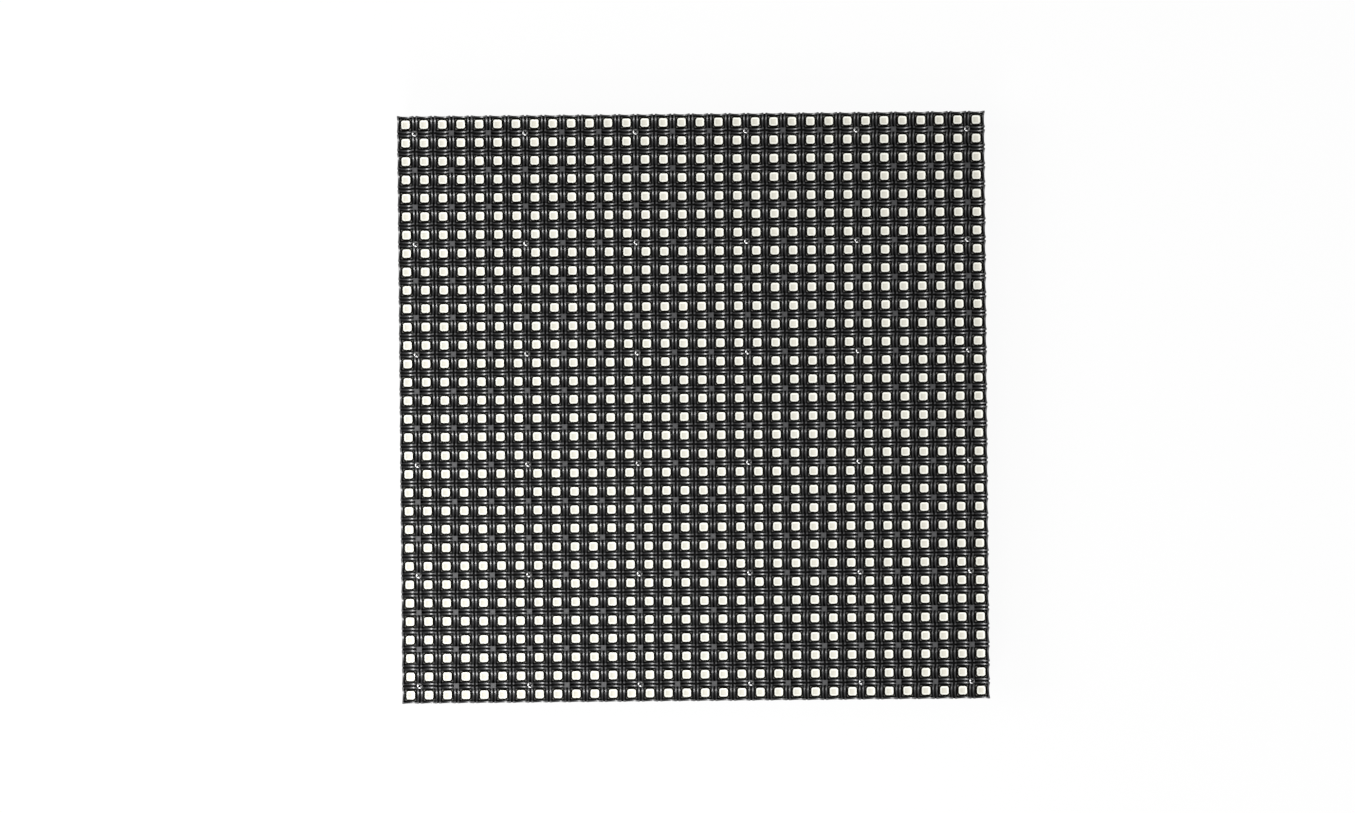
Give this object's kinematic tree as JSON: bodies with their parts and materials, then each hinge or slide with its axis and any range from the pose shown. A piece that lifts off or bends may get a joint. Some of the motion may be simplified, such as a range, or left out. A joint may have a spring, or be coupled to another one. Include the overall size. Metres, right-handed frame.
{
  "type": "led dot matrix module",
  "caption": "Square LED dot matrix tile: surface-mount pixels behind a scalloped black louvre mask, on one circuit board screwed to a ribbed open back frame.",
  "frame": {"origin": "middle of the back frame's back face, on which the module lies", "axes": "+Z out of the display face; +Y towards the display's upper edge; +X to the right as one looks at the lit face"},
  "size_m": [0.1914, 0.1914, 0.017],
  "materials": {
    "mask_black": "satin",
    "led_black": "matte",
    "led_resin": "satin",
    "screw_steel": "bright",
    "solder_mask": "satin",
    "frame_black": "matte",
    "insert_brass": "knurled",
    "chip_epoxy": "matte",
    "resistor_black": "glazed",
    "capacitor_tan": "matte",
    "can_aluminium": "satin",
    "base_black": "matte",
    "shroud_black": "matte",
    "pin_gold": "plated",
    "header_white": "satin",
    "pin_tin": "plated"
  },
  "bodies": {
    "root": {"mask": "mask_black", "led_packages": "led_black", "led_windows": "led_resin", "mask_screws": "screw_steel", "circuit_board": "solder_mask", "back_frame": "frame_black", "mounting_inserts": "insert_brass", "driver_chips": "chip_epoxy", "row_switch_chips": "chip_epoxy", "buffer_chips": "chip_epoxy", "decoder_chips": "chip_epoxy", "chip_resistors": "resistor_black", "chip_capacitors": "capacitor_tan", "electrolytic_cans": "can_aluminium", "electrolytic_bases": "base_black", "data_in_shroud": "shroud_black", "data_in_pins": "pin_gold", "data_out_shroud": "shroud_black", "data_out_pins": "pin_gold", "power_header": "header_white", "power_pins": "pin_tin"}
  },
  "joints": []
}
